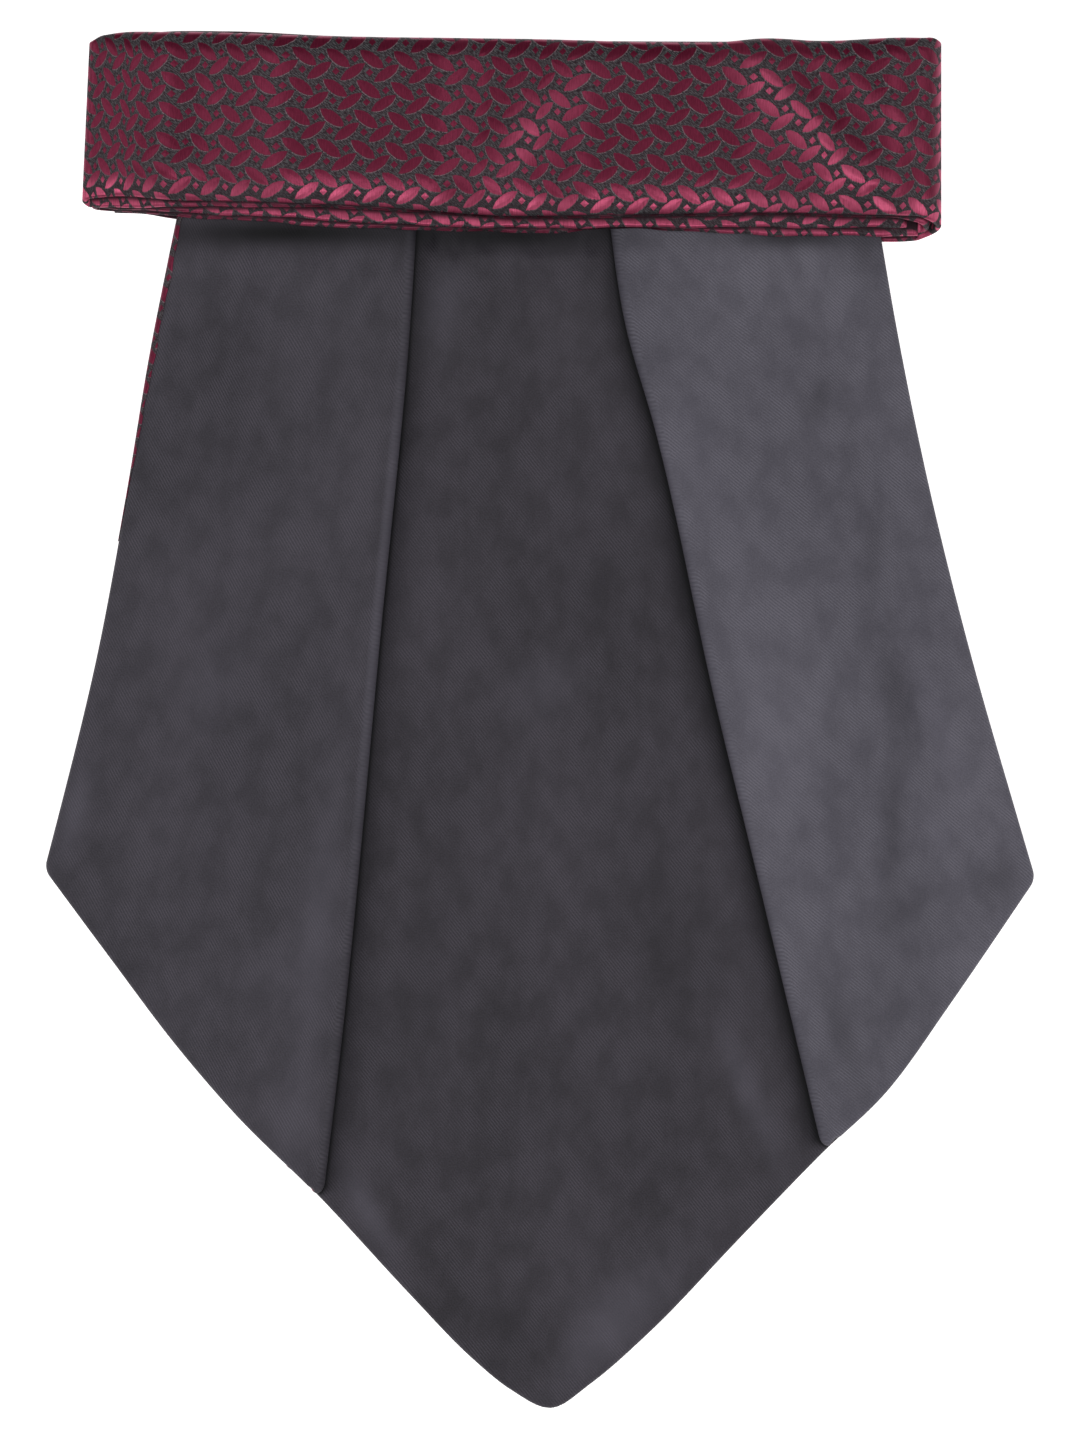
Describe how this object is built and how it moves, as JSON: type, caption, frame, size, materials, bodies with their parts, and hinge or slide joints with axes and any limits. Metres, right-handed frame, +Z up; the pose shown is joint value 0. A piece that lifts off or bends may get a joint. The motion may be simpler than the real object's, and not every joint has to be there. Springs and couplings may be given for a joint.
{
  "type": "silk cravat",
  "caption": "Silk cravat lying flat, lining side up: a wide pointed blade with two pleats, its jacquard neckband folded in a packet across the top.",
  "frame": {"origin": "on the surface it lies on, under the middle of its box", "axes": "+X across the blade, +Y from the pointed tip to the folded neckband, +Z up from the surface"},
  "size_m": [0.1552, 0.2155, 0.0155],
  "materials": {
    "lining": "charcoal twill with a dull sheen",
    "jacquard": "burgundy satin floats on a charcoal ground"
  },
  "bodies": {
    "root": {"blade_lining": "lining", "blade_face": "jacquard", "band_top": "jacquard", "band_second": "jacquard", "band_third": "jacquard", "band_fourth": "jacquard", "band_under": "jacquard", "band_core": "jacquard"}
  },
  "joints": []
}
